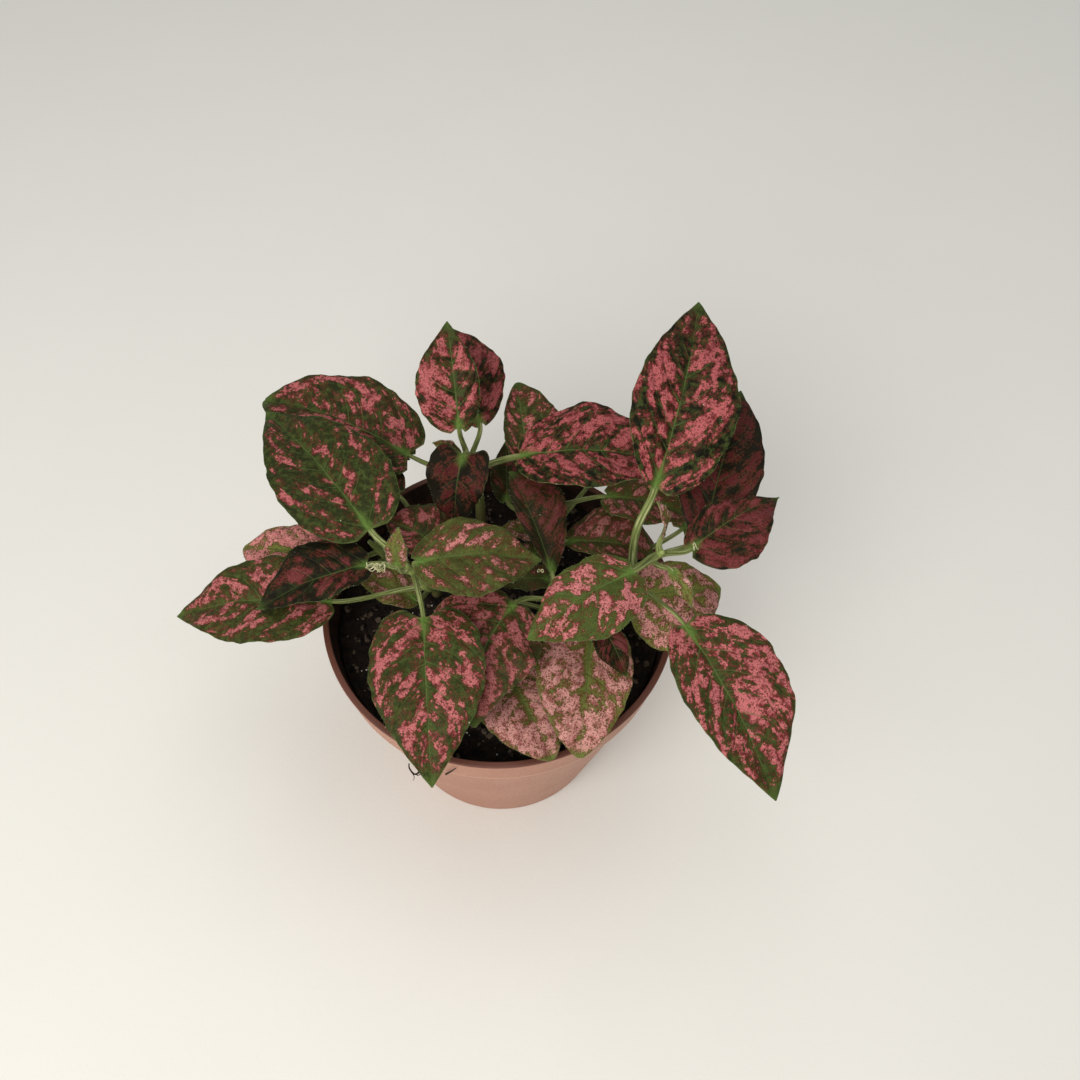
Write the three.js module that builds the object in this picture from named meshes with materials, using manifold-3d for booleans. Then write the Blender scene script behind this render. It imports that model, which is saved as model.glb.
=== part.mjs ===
// Polka dot plant in a round nursery pot, in millimetres, +Z up.
// The origin is the middle of the pot's underside. The plant's open side faces -Y.
import * as THREE from 'three';
import { mergeVertices } from 'three/addons/utils/BufferGeometryUtils.js';
import Module from 'manifold-3d';

const wasm = await Module();
wasm.setup();

// Pot
const POT_HEIGHT = 81;
const RIM_RADIUS = 52.5;
const RIM_WALL = 1.8;
const BASE_RADIUS = 35;
const WALL = 1.3;
const FLOOR = 2;
const BAND_HEIGHT = 12.8;
const BAND_STEP = 1;
const POT_SIDES = 60;
const DRAIN_HOLES = 6;
const DRAIN_RADIUS = 3;
const DRAIN_CIRCLE = 22;

// Soil
const SOIL_LEVEL = 71;
const SOIL_RELIEF = 1.1;
const SOIL_SIDES = 30;
const CLEARANCE = 0.3;

// Plant
const STEM_DEPTH = 12;
const STEM_FOOT_RADIUS = 1.7;
const STEM_HEAD_RADIUS = 1;
const STEM_SIDES = 8;
const STEM_STEPS = 12;
const HOLE_MARGIN = 0.7;
const KNUCKLE = 0.25;
const PETIOLE_STEPS = 4;
const SHORT_LEAF = 18;
const PETIOLE_FOOT_RADIUS = 0.8;
const PETIOLE_HEAD_RADIUS = 0.65;
const BLADE_THICKNESS = 0.7;
const MIDRIB_DEPTH = 0.7;
const PHASE_STEP = 1.3;
const LOBE_LIMIT = 0.7;

// Places across and along a blade where its skin has points
const ACROSS = [-1, -0.5, 0, 0.5, 1];
const RING = 2 * ACROSS.length;
const STATIONS = [0.03, 0.09, 0.2, 0.34, 0.5, 0.66, 0.82, 0.93];
const SHORT_STATIONS = [0.06, 0.25, 0.5, 0.78];

const TERRACOTTA = new THREE.MeshStandardMaterial({ color: 0xb08672, roughness: 0.55, metalness: 0 });
const SOIL_BROWN = new THREE.MeshStandardMaterial({ color: 0x17110e, roughness: 1, metalness: 0 });
const STEM_GREEN = new THREE.MeshStandardMaterial({ color: 0x8a9c55, roughness: 0.6, metalness: 0 });
const LEAF_PINK = new THREE.MeshStandardMaterial({ color: 0xb3535c, roughness: 0.6, metalness: 0 });

// Stems, each by the points that its middle line passes, from the soil up to its head
const STEMS = {
  back: [[-8, 36, 71], [-8, 35, 85], [-9, 31, 100], [-10, 27, 116]],
  left: [[-20, 8, 71], [-19, 4, 82], [-20, -4, 95], [-24, -9, 113]],
  right: [[26, 12, 71], [31, 7, 85], [36, 0, 98], [44, -6, 119]],
  front: [[12, -6, 71], [14, -5, 80], [16, -6, 88], [17, -8, 98]],
  inner: [[14, 20, 71], [15, 22, 80], [16, 24, 90], [17, 25, 99]],
  side: [[-32, 14, 71], [-34, 13, 80], [-36, 11, 90], [-38, 9, 97]],
};

// Leaves: stem, height of the joint on it, blade base, blade tip, half widths left and right
// as seen from base to tip with the upper face up, and what differs from PLAIN_LEAF.
const LEAVES = [
  ['back', 96, [-29.2, 38, 102], [-76.1, 56.9, 103], [15.3, 17],
    { fold: 10, foldTip: 20, widest: 0.38, baseFill: 0.42, tipFill: 0.62, lobe: 2.6 }],
  ['back', 107, [5, 30, 113], [50, 27, 115], [16.5, 14.5], { widest: 0.42, tipFill: 0.8, stalk: 1.35 }],
  ['back', 111, [-10.5, 22.5, 122], [-13, 10, 103], [8.5, 9],
    { widest: 0.24, baseFill: 0.42, arch: 0.2, peak: 0.35, lobe: 3.4 }],
  ['back', 115, [-12, 28, 127], [-16, 50, 146], [11, 7], {}],
  ['back', 112, [-7, 37, 119], [-17, 60, 134], [8, 11], { widest: 0.48 }],
  ['back', 92, [-30.5, 45.9, 92], [-53.7, 61, 86], [6, 6], {}],
  ['left', 112, [-36, 5, 109], [-73, 48, 108], [16.5, 17], { arch: 0.08, widest: 0.34, stalk: 1.3 }],
  ['left', 108, [-21, -10.5, 117], [12, -4, 110], [11.5, 14], { baseFill: 0.7 }],
  ['left', 108, [-36, -4, 105], [-65, -18, 102], [7.5, 12], { stalk: 1.2 }],
  ['left', 108, [-19, -21, 106], [-14, -63, 92], [16, 15], { widest: 0.35, baseFill: 0.45, lobe: 3 }],
  ['left', 98, [-17, 5, 101], [-34, 15, 100], [7, 11], {}],
  ['left', 94, [-46, -12, 98], [-91, -14, 90], [15, 14], {}],
  ['left', 96, [-32, 26, 98], [-49, 37, 95], [8, 8], {}],
  ['left', 86, [-24, -5, 89], [-42, 1, 91], [6, 6], {}],
  ['right', 103, [42, 10, 126], [54, 62, 145], [14, 16.5],
    { roll: -15, fold: 16, leftFill: 1, stalk: 1.5, rise: 0.4 }],
  ['right', 112, [57, 6, 112], [69, 50, 122], [11, 12], {}],
  ['right', 117, [52, -4, 118], [77, 13, 120], [7, 14], { widest: 0.32, baseFill: 0.9, tipFill: 1.2 }],
  ['right', 117, [36, -13, 120], [9, -30, 112], [14, 9.5], {}],
  ['right', 103, [50, -24, 112], [73, -65, 96], [17, 11.8], { stalk: 0.8 }],
  ['right', 92, [39.5, -6.5, 97], [64, -1, 94], [9, 17.5],
    { roll: -22, widest: 0.36, baseFill: 0.45, tipFill: 0.8, lobe: 3 }],
  ['right', 86, [54, 20, 93], [78, 42, 84], [11, 11], {}],
  ['front', 97, [5, -14, 103], [-4, -47, 94], [15, 17], { bend: 0.1 }],
  ['front', 94, [15, 0, 99], [2, 26, 111], [4, 11], { widest: 0.6 }],
  ['front', 82, [14, 2, 91], [-2, -1, 92], [4.5, 6], {}],
  ['front', 90, [27, -14, 94], [24, -51, 86], [12.5, 14.5], { tipFill: 0.7 }],
  ['front', 94, [29, -19, 102], [36, -32, 97], [4, 5.5], {}],
  ['front', 86, [2, -6, 91], [-17, -10, 90], [6, 6], {}],
  ['front', 80, [1, -22, 84], [17, -51, 84], [10, 14], { tipFill: 0.65 }],
  ['inner', 97, [7, 32, 106], [3, 55, 117], [6, 12], { tipFill: 0.7 }],
  ['inner', 88, [1, 30, 92], [0, 43, 104], [5, 5], {}],
  ['inner', 97, [31, 27, 99], [58, 19, 99], [9, 9], {}],
  ['inner', 90, [20, 13, 95], [45, 10, 94], [12.5, 6], { widest: 0.5, tipFill: 0.75 }],
  ['inner', 88, [28, 40, 92], [40, 64, 86], [10, 10], {}],
  ['inner', 84, [6, 40, 86], [12, 68, 80], [9, 9], {}],
  ['side', 90, [-48, 4, 92], [-76, 9.5, 91], [12, 9.5], { tipFill: 0.65 }],
  ['side', 88, [-42, 22, 91], [-62, 46, 86], [11, 11], {}],
  ['side', 84, [-48, 2, 86], [-80, -8, 77], [10, 10], {}],
];

// Young leaves, still joined to the stem that they grow from
const YOUNG = [
  ['left', 112, [-26, -11, 117], [-25, -7, 128], [3.2, 3.2], {}],
  ['right', 118, [44, -3, 123], [41, -2, 136], [2.8, 2.8], {}],
  ['right', 114, [47, -11, 117], [52, -19, 113], [2.4, 2.4], {}],
  ['back', 114, [-13, 27, 117], [-20, 29, 119], [2.5, 2.5], {}],
  ['inner', 80, [10, 23, 84], [-1, 23, 86], [4, 4], {}],
  ['inner', 77, [10, 17, 82], [3, 16, 84], [3, 3], {}],
];

const PLAIN_LEAF = {
  roll: 0,
  arch: 0.1,
  peak: 0.5,
  bend: 0,
  twist: 0,
  fold: 12,
  widest: 0.4,
  baseFill: 0.55,
  tipFill: 1,
  lobe: 1.5,
  stalk: 1,
  curl: 0.1,
  wave: 0.8,
  waves: 2.5,
  rise: 0.12,
};

const degrees = THREE.MathUtils.degToRad;
const lerp = THREE.MathUtils.lerp;
const vector = (point) => new THREE.Vector3(...point);

// Geometry from points and triangles
function meshGeometry(points, triangles) {
  const geometry = new THREE.BufferGeometry();
  const values = points.flatMap((p) => [p.x, p.y, p.z]);
  geometry.setAttribute('position', new THREE.Float32BufferAttribute(values, 3));
  geometry.setIndex(triangles.flat());
  return geometry;
}

function toSolid(geometry) {
  const plain = geometry.clone();
  plain.deleteAttribute('normal');
  plain.deleteAttribute('uv');
  const merged = mergeVertices(plain, 1e-4);
  return new wasm.Manifold(new wasm.Mesh({
    numProp: 3,
    vertProperties: new Float32Array(merged.attributes.position.array),
    triVerts: new Uint32Array(merged.index.array),
  }));
}

function toGeometry(solid) {
  const mesh = solid.getMesh();
  const geometry = new THREE.BufferGeometry();
  geometry.setAttribute('position', new THREE.Float32BufferAttribute(mesh.vertProperties, 3));
  geometry.setIndex(Array.from(mesh.triVerts));
  return geometry;
}

// Closed skin over rings of points that run clockwise, seen along the way the rings advance
function loft(rings) {
  const count = rings[0].length;
  const points = rings.flat();
  const triangles = [];
  for (let i = 0; i + 1 < rings.length; i += 1) {
    for (let k = 0; k < count; k += 1) {
      const a = i * count + k;
      const b = i * count + (k + 1) % count;
      triangles.push([a, b, b + count], [a, b + count, a + count]);
    }
  }
  const last = (rings.length - 1) * count;
  for (let k = 1; k + 1 < count; k += 1) {
    triangles.push([0, k + 1, k], [last, last + k, last + k + 1]);
  }
  return meshGeometry(points, triangles);
}

// Way of a line of points at one of them
function wayAt(line, i) {
  const next = line[Math.min(i + 1, line.length - 1)];
  return next.clone().sub(line[Math.max(i - 1, 0)]).normalize();
}

// Side directions along a line, carried from its first point without spin
function carriedSides(line, side) {
  let carried = side;
  return line.map((_, i) => {
    const way = wayAt(line, i);
    carried = carried.clone().addScaledVector(way, -carried.dot(way)).normalize();
    return carried;
  });
}

// Round ring of points, clockwise seen along its way
function roundRing(centre, side, way, radius, count) {
  const up = side.clone().cross(way).normalize();
  return Array.from({ length: count }, (_, k) => {
    const angle = Math.PI * (1 - (2 * k + 1) / count);
    return centre.clone()
      .addScaledVector(side, radius * Math.cos(angle))
      .addScaledVector(up, radius * Math.sin(angle));
  });
}

// Stems: a smooth line through the points, a little thicker at each joint
function stemLine(name) {
  const points = STEMS[name].map(vector);
  const foot = points[0].clone().setZ(SOIL_LEVEL - STEM_DEPTH);
  const curve = new THREE.CatmullRomCurve3([foot, ...points], false, 'catmullrom', 0.5);
  return curve.getPoints(STEM_STEPS);
}

function stemRadius(t) {
  const knuckle = Math.max(0, Math.cos(Math.PI * 8 * t)) ** 6;
  return lerp(STEM_FOOT_RADIUS, STEM_HEAD_RADIUS, t) + KNUCKLE * knuckle;
}

// Plain hole in the soil, a little wider than the stem that stands in it
function stemHoleGeometry(name) {
  const line = stemLine(name);
  const buried = line.filter((p) => p.z < SOIL_LEVEL + 4 * SOIL_RELIEF);
  buried[0].z -= CLEARANCE;
  buried.push(line[buried.length]);
  const sides = carriedSides(buried, new THREE.Vector3(1, 0, 0));
  return loft(buried.map((centre, i) => (
    roundRing(centre, sides[i], wayAt(buried, i), STEM_FOOT_RADIUS + HOLE_MARGIN, 10))));
}

// Middle of the stem at a height above the ground, with its way and radius there
function stemAt(name, height) {
  const line = stemLine(name);
  const i = Math.max(1, line.findIndex((p) => p.z >= height));
  const [low, high] = [line[i - 1], line[i]];
  const part = (height - low.z) / (high.z - low.z);
  return {
    middle: low.clone().lerp(high, part),
    way: high.clone().sub(low).normalize(),
    radius: Math.max(stemRadius((i - 1) / STEM_STEPS), stemRadius(i / STEM_STEPS)),
  };
}

// Leaf outline: half width at u along the blade, 0 at the base and 1 at the tip
function widthAt(u, leaf, right) {
  const power = Math.log(0.5) / Math.log(leaf.widest);
  const s = Math.sin(Math.PI * u ** power);
  const baseFill = right ? leaf.baseFill : leaf.leftFill;
  return Math.max(s, 0) ** (u < leaf.widest ? baseFill : leaf.tipFill);
}

// Middle surface of a blade as a function of u along it and v across it, from -1 to 1
function bladeSurface(leaf) {
  const base = vector(leaf.base);
  const axis = vector(leaf.tip).sub(base);
  const length = axis.length();
  axis.normalize();
  const level = axis.clone().cross(new THREE.Vector3(0, 0, 1)).normalize();
  const side = level.applyAxisAngle(axis, -degrees(leaf.roll));
  const up = side.clone().cross(axis);
  const power = Math.log(0.5) / Math.log(leaf.peak);
  const middle = (u) => base.clone()
    .addScaledVector(axis, length * u)
    .addScaledVector(up, leaf.arch * length * Math.sin(Math.PI * u ** power))
    .addScaledVector(side, leaf.bend * length * Math.sin(Math.PI * u));
  const surface = (u, v) => {
    const lobe = Math.min(leaf.lobe * v * v * (1 - u) ** 4, LOBE_LIMIT * length * u);
    const along = middle(Math.min(u + 1e-3, 1)).sub(middle(Math.max(u - 1e-3, 0))).normalize();
    const turn = degrees(leaf.twist) * (u - 0.4);
    const lean = up.clone().multiplyScalar(Math.cos(turn)).addScaledVector(side, -Math.sin(turn));
    const across = along.clone().cross(lean).normalize();
    const out = across.clone().cross(along);
    const half = (v > 0 ? leaf.right : leaf.left) * widthAt(u, leaf, v > 0);
    const fold = degrees(lerp(leaf.fold, leaf.foldTip, u));
    const reach = Math.abs(v) * half;
    const ends = Math.min(1, 4 * u, 4 * (1 - u));
    const ripple = Math.sin(2 * Math.PI * leaf.waves * u + leaf.phase + (v > 0 ? 1.7 : 0));
    const lift = reach * Math.sin(fold) - leaf.curl * half * Math.abs(v) ** 3
      + leaf.wave * Math.min(1, half / 6) * Math.abs(v) ** 1.6 * ripple * ends;
    return middle(u)
      .addScaledVector(across, Math.sign(v) * reach * Math.cos(fold))
      .addScaledVector(out, lift)
      .addScaledVector(along, -lobe);
  };
  return { side, middle, surface, length };
}

// Petiole: square out of the stem, then up and over into the blade's own direction
function petioleRings(leaf, joint, middle, side) {
  const base = vector(leaf.base);
  const reach = base.distanceTo(joint.point);
  const way = middle(0.04).sub(base).normalize();
  const first = joint.point.clone().addScaledVector(joint.out, 0.3 * reach);
  first.z += leaf.rise * reach;
  const second = base.clone().addScaledVector(way, -0.3 * reach);
  const line = new THREE.CubicBezierCurve3(joint.point, first, second, base).getPoints(PETIOLE_STEPS);
  const sides = carriedSides([...line].reverse(), side).reverse();
  return line.map((centre, i) => {
    let along = wayAt(line, i);
    if (i === 0) along = joint.out;
    if (i === PETIOLE_STEPS) along = way;
    const across = sides[i].clone().addScaledVector(along, -sides[i].dot(along)).normalize();
    const radius = leaf.stalk * lerp(PETIOLE_FOOT_RADIUS, PETIOLE_HEAD_RADIUS, i / PETIOLE_STEPS);
    return roundRing(centre, across, along, radius, RING);
  });
}

// Blade ring at u: the upper face from left to right, then the lower face back again
function bladeRing(u, surface) {
  const e = 1e-3;
  const pair = ACROSS.map((v) => {
    const forward = surface(u + e, v).sub(surface(u - e, v));
    const outward = surface(u, Math.min(v + e, 1)).sub(surface(u, Math.max(v - e, -1)));
    const normal = outward.cross(forward).normalize();
    const rib = v === 0 ? MIDRIB_DEPTH * (1 - u) : 0;
    return [
      surface(u, v).addScaledVector(normal, BLADE_THICKNESS / 2),
      surface(u, v).addScaledVector(normal, -BLADE_THICKNESS / 2 - rib),
    ];
  });
  return [...pair.map((p) => p[0]), ...pair.map((p) => p[1]).reverse()];
}

// One leaf as a closed skin: round petiole rings, flat blade rings, then the tip.
// Each half is creased outwards and forwards, alike on both faces, as its side veins run.
function leafGeometry(leaf, joint) {
  const { side, middle, surface, length } = bladeSurface(leaf);
  const rings = petioleRings(leaf, joint, middle, side);
  const stations = length < SHORT_LEAF ? SHORT_STATIONS : STATIONS;
  stations.forEach((u) => rings.push(bladeRing(u, surface)));
  const points = rings.flat();
  const triangles = [];
  for (let i = 0; i + 1 < rings.length; i += 1) {
    for (let k = 0; k < RING; k += 1) {
      const a = i * RING + k;
      const b = i * RING + (k + 1) % RING;
      if (k < 2 || k === 5 || k === 6) {
        triangles.push([a, b, a + RING], [b, b + RING, a + RING]);
      } else {
        triangles.push([a, b, b + RING], [a, b + RING, a + RING]);
      }
    }
  }
  const last = (rings.length - 1) * RING;
  const top = points.length;
  const bottom = top + 1;
  const tip = surface(1, 0);
  const up = points[last + 2].clone().sub(points[last + 7]).setLength(BLADE_THICKNESS / 2);
  points.push(tip.clone().add(up), tip.clone().sub(up));
  for (let k = 0; k < 4; k += 1) {
    triangles.push([last + k, last + k + 1, top], [last + 5 + k, last + 6 + k, bottom]);
  }
  triangles.push([last + 4, last + 5, bottom], [last + 4, bottom, top]);
  triangles.push([last + 9, last, top], [last + 9, top, bottom]);
  for (let k = 1; k + 1 < RING; k += 1) {
    triangles.push([0, k + 1, k]);
  }
  return meshGeometry(points, triangles);
}

function leafFrom([stem, height, base, tip, [left, right], changes], index) {
  const shape = { ...PLAIN_LEAF, ...changes };
  return {
    foldTip: shape.fold,
    leftFill: shape.baseFill,
    phase: PHASE_STEP * index,
    ...shape,
    stem,
    height,
    base,
    tip,
    left,
    right,
  };
}

// Where a petiole starts: on the stem's side that faces the blade, or sunk in its middle
function jointOf(leaf, sunk) {
  const { middle, way, radius } = stemAt(leaf.stem, leaf.height);
  const out = vector(leaf.base).sub(middle);
  out.addScaledVector(way, -out.dot(way)).normalize();
  return { point: middle.addScaledVector(out, sunk ? 0 : radius + CLEARANCE), out };
}

// Pot: one turned wall with a rim band, its floor pierced by drain holes
function potGeometry() {
  const bandFoot = POT_HEIGHT - BAND_HEIGHT;
  const bandRadius = RIM_RADIUS - 1.9;
  const wallTop = bandRadius - BAND_STEP;
  const profile = [
    [0, 0],
    [BASE_RADIUS - 1, 0],
    [BASE_RADIUS, 1],
    [wallTop, bandFoot - 0.4],
    [bandRadius, bandFoot],
    [RIM_RADIUS - 0.7, POT_HEIGHT - 1.6],
    [RIM_RADIUS, POT_HEIGHT - 0.9],
    [RIM_RADIUS, POT_HEIGHT - 0.3],
    [RIM_RADIUS - 0.4, POT_HEIGHT],
    [RIM_RADIUS - RIM_WALL + 0.3, POT_HEIGHT],
    [RIM_RADIUS - RIM_WALL, POT_HEIGHT - 0.4],
    [bandRadius - RIM_WALL, bandFoot],
    [wallTop - WALL, bandFoot - 2.4],
    [BASE_RADIUS - WALL, FLOOR + 1],
    [BASE_RADIUS - WALL - 1, FLOOR],
    [0, FLOOR],
  ];
  const points = profile.map(([r, z]) => new THREE.Vector2(r, z));
  const turned = new THREE.LatheGeometry(points, POT_SIDES).rotateX(Math.PI / 2);
  let pot = toSolid(turned);
  for (let i = 0; i < DRAIN_HOLES; i += 1) {
    const angle = (2 * Math.PI * (i + 0.5)) / DRAIN_HOLES;
    const hole = new THREE.CylinderGeometry(DRAIN_RADIUS, DRAIN_RADIUS, 3 * FLOOR, 16)
      .rotateX(Math.PI / 2)
      .translate(DRAIN_CIRCLE * Math.cos(angle), DRAIN_CIRCLE * Math.sin(angle), FLOOR / 2);
    pot = pot.subtract(toSolid(hole));
  }
  return toGeometry(pot);
}

// Soil: fills the pot up to an uneven top, with a hole for each stem
function soilHeight(x, y) {
  const lumps = Math.sin(0.31 * x + 1) * Math.cos(0.27 * y) + 0.6 * Math.sin(0.7 * x - 0.5 * y);
  return SOIL_LEVEL + SOIL_RELIEF * 0.6 * lumps;
}

function soilGeometry() {
  const bandFoot = POT_HEIGHT - BAND_HEIGHT;
  const shoulder = RIM_RADIUS - 1.9 - BAND_STEP - WALL - CLEARANCE;
  const foot = BASE_RADIUS - WALL - CLEARANCE - 0.4;
  const bottom = FLOOR + CLEARANCE;
  const topRadius = shoulder + 0.5;
  const radii = [topRadius, 40, 31, 21, 11];
  const ring = (radius, height) => Array.from({ length: SOIL_SIDES }, (_, k) => {
    const angle = (2 * Math.PI * k) / SOIL_SIDES;
    const [x, y] = [radius * Math.cos(angle), radius * Math.sin(angle)];
    return new THREE.Vector3(x, y, height ?? soilHeight(x, y));
  });
  const rings = [ring(foot - 1, bottom), ring(foot, bottom + 1)];
  rings.push(ring(shoulder, bandFoot - 2.4), ...radii.map((radius) => ring(radius)));
  let soil = toSolid(loft(rings));
  Object.keys(STEMS).forEach((name) => {
    soil = soil.subtract(toSolid(stemHoleGeometry(name)));
  });
  return toGeometry(soil);
}

// Stem with its young leaves
function leafyStemGeometry(name) {
  const sides = carriedSides(stemLine(name), new THREE.Vector3(1, 0, 0));
  const stem = loft(stemLine(name).map((centre, i, line) => (
    roundRing(centre, sides[i], wayAt(line, i), stemRadius(i / STEM_STEPS), STEM_SIDES))));
  return toGeometry(YOUNG.filter((row) => row[0] === name).reduce((solid, row, i) => {
    const leaf = leafFrom(row, i);
    return solid.add(toSolid(leafGeometry(leaf, jointOf(leaf, true))));
  }, toSolid(stem)));
}

const plant = new THREE.Group();

function addPart(name, geometry, material) {
  const mesh = new THREE.Mesh(geometry, material);
  mesh.name = name;
  plant.add(mesh);
}

addPart('pot', potGeometry(), TERRACOTTA);
addPart('soil', soilGeometry(), SOIL_BROWN);
Object.keys(STEMS).forEach((name) => {
  addPart(`stem_${name}`, leafyStemGeometry(name), STEM_GREEN);
  LEAVES.filter((row) => row[0] === name).forEach((row, i) => {
    const leaf = leafFrom(row, LEAVES.indexOf(row));
    addPart(`leaf_${name}_${i + 1}`, leafGeometry(leaf, jointOf(leaf, false)), LEAF_PINK);
  });
});

export default plant;
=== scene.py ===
# Looks of a polka dot plant in a round nursery pot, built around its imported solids.
# Lengths are millimetres in the row's frame, and become metres where a mesh is made.
import math
import random
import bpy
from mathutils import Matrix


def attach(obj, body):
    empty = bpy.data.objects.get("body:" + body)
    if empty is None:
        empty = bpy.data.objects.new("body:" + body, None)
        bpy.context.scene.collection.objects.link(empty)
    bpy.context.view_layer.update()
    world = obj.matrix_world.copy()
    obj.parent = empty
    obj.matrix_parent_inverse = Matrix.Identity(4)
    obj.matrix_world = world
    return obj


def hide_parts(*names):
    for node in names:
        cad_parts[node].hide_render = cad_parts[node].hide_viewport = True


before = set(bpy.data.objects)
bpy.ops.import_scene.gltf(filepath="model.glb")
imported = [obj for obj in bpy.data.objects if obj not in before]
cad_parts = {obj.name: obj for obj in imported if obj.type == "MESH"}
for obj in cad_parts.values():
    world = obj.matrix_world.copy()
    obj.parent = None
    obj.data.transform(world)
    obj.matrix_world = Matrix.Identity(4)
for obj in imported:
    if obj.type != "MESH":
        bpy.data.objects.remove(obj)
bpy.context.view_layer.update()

from types import SimpleNamespace

import bmesh
import bpy
import numpy as np
from mathutils import Matrix, Vector, noise

MM = 0.001

# Camera, as the photograph was taken
CAMERA_PLACE = (11.5, -159.9, 347.4)
CAMERA_PITCH = 55.57
CAMERA_ROLL = 1.88
CAMERA_LENS = 34.567
CAMERA_SENSOR = 36
CAMERA_NEAR = 0.01

# Light, in metres: name, place, width, power and colour
LIGHTS = [
    ("window", (-0.3, -0.58, 0.64), 0.65, 5.5, (1.0, 0.98, 0.94)),
    ("overhead", (0.1, 0.2, 1.2), 1.0, 3.4, (1.0, 0.98, 0.96)),
]
LIGHT_AIM = (0, 0, 0.09)
SKY_COLOUR = (0.98, 0.99, 1.0, 1)
SKY_STRENGTH = 0.39
FLOOR_REACH = 4000

# Pot
POT_HEIGHT = 81
RIM_RADIUS = 52.5
RIM_WALL = 1.8
BASE_RADIUS = 35
WALL = 1.3
FLOOR = 2
BAND_HEIGHT = 12.8
BAND_TAPER = 1.9
BAND_STEP = 1
INNER_STEP = 2.4
BAND_FOOT = POT_HEIGHT - BAND_HEIGHT
BAND_RADIUS = RIM_RADIUS - BAND_TAPER
WALL_TOP = BAND_RADIUS - BAND_STEP
INNER_FOOT = BAND_FOOT - INNER_STEP
POT_SIDES = 192
DRAIN_HOLES = 6
DRAIN_RADIUS = 3
DRAIN_CIRCLE = 22

# Soil
SOIL_LEVEL = 71
SOIL_RELIEF = 1.1
SOIL_RINGS = 90
SOIL_SIDES = 240
CLEARANCE = 0.3
CRUMBS = 620
CRUMB_SIZES = (0.5, 1.7)
GRAINS = 150
GRAIN_SIZES = (0.2, 0.5)
CRUMB_CIRCLE = 47.5
CRUMB_FLATNESS = 0.8

# Threads
FIBRE_RADIUS = 0.13
ROOT_STEPS = 14

# Hairs
HAIR_RADIUS = 0.03
HAIR_LENGTHS = (0.25, 0.6)
MARGIN_HAIRS = 46
STALK_HAIRS = 40
YOUNG_HAIRS = 90

# Plant
STEM_DEPTH = 6
STEM_FOOT_RADIUS = 1.7
STEM_HEAD_RADIUS = 1
STEM_SIDES = 24
STEM_STEPS = 84
JOINT_SWELL = 0.2
PETIOLE_FOOT_RADIUS = 0.8
PETIOLE_HEAD_RADIUS = 0.65
PETIOLE_STEPS = 16
BLADE_THICKNESS = 0.42
BLADE_STEPS = 62
BLADE_HALF_STEPS = 20
LEAF_RING = 2 * (2 * BLADE_HALF_STEPS + 1)
PHASE_STEP = 1.3

# Stems, each by the points that its middle line passes, from the soil up to its head
STEMS = {
    "back": [(-8, 36, 71), (-8, 35, 85), (-9, 31, 100), (-10, 27, 116)],
    "left": [(-20, 8, 71), (-19, 4, 82), (-20, -4, 95), (-24, -9, 113)],
    "right": [(26, 12, 71), (31, 7, 85), (36, 0, 98), (44, -6, 119)],
    "front": [(12, -6, 71), (14, -5, 80), (16, -6, 88), (17, -8, 98)],
    "inner": [(14, 20, 71), (15, 22, 80), (16, 24, 90), (17, 25, 99)],
    "side": [(-32, 14, 71), (-34, 13, 80), (-36, 11, 90), (-38, 9, 97)],
}

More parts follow.
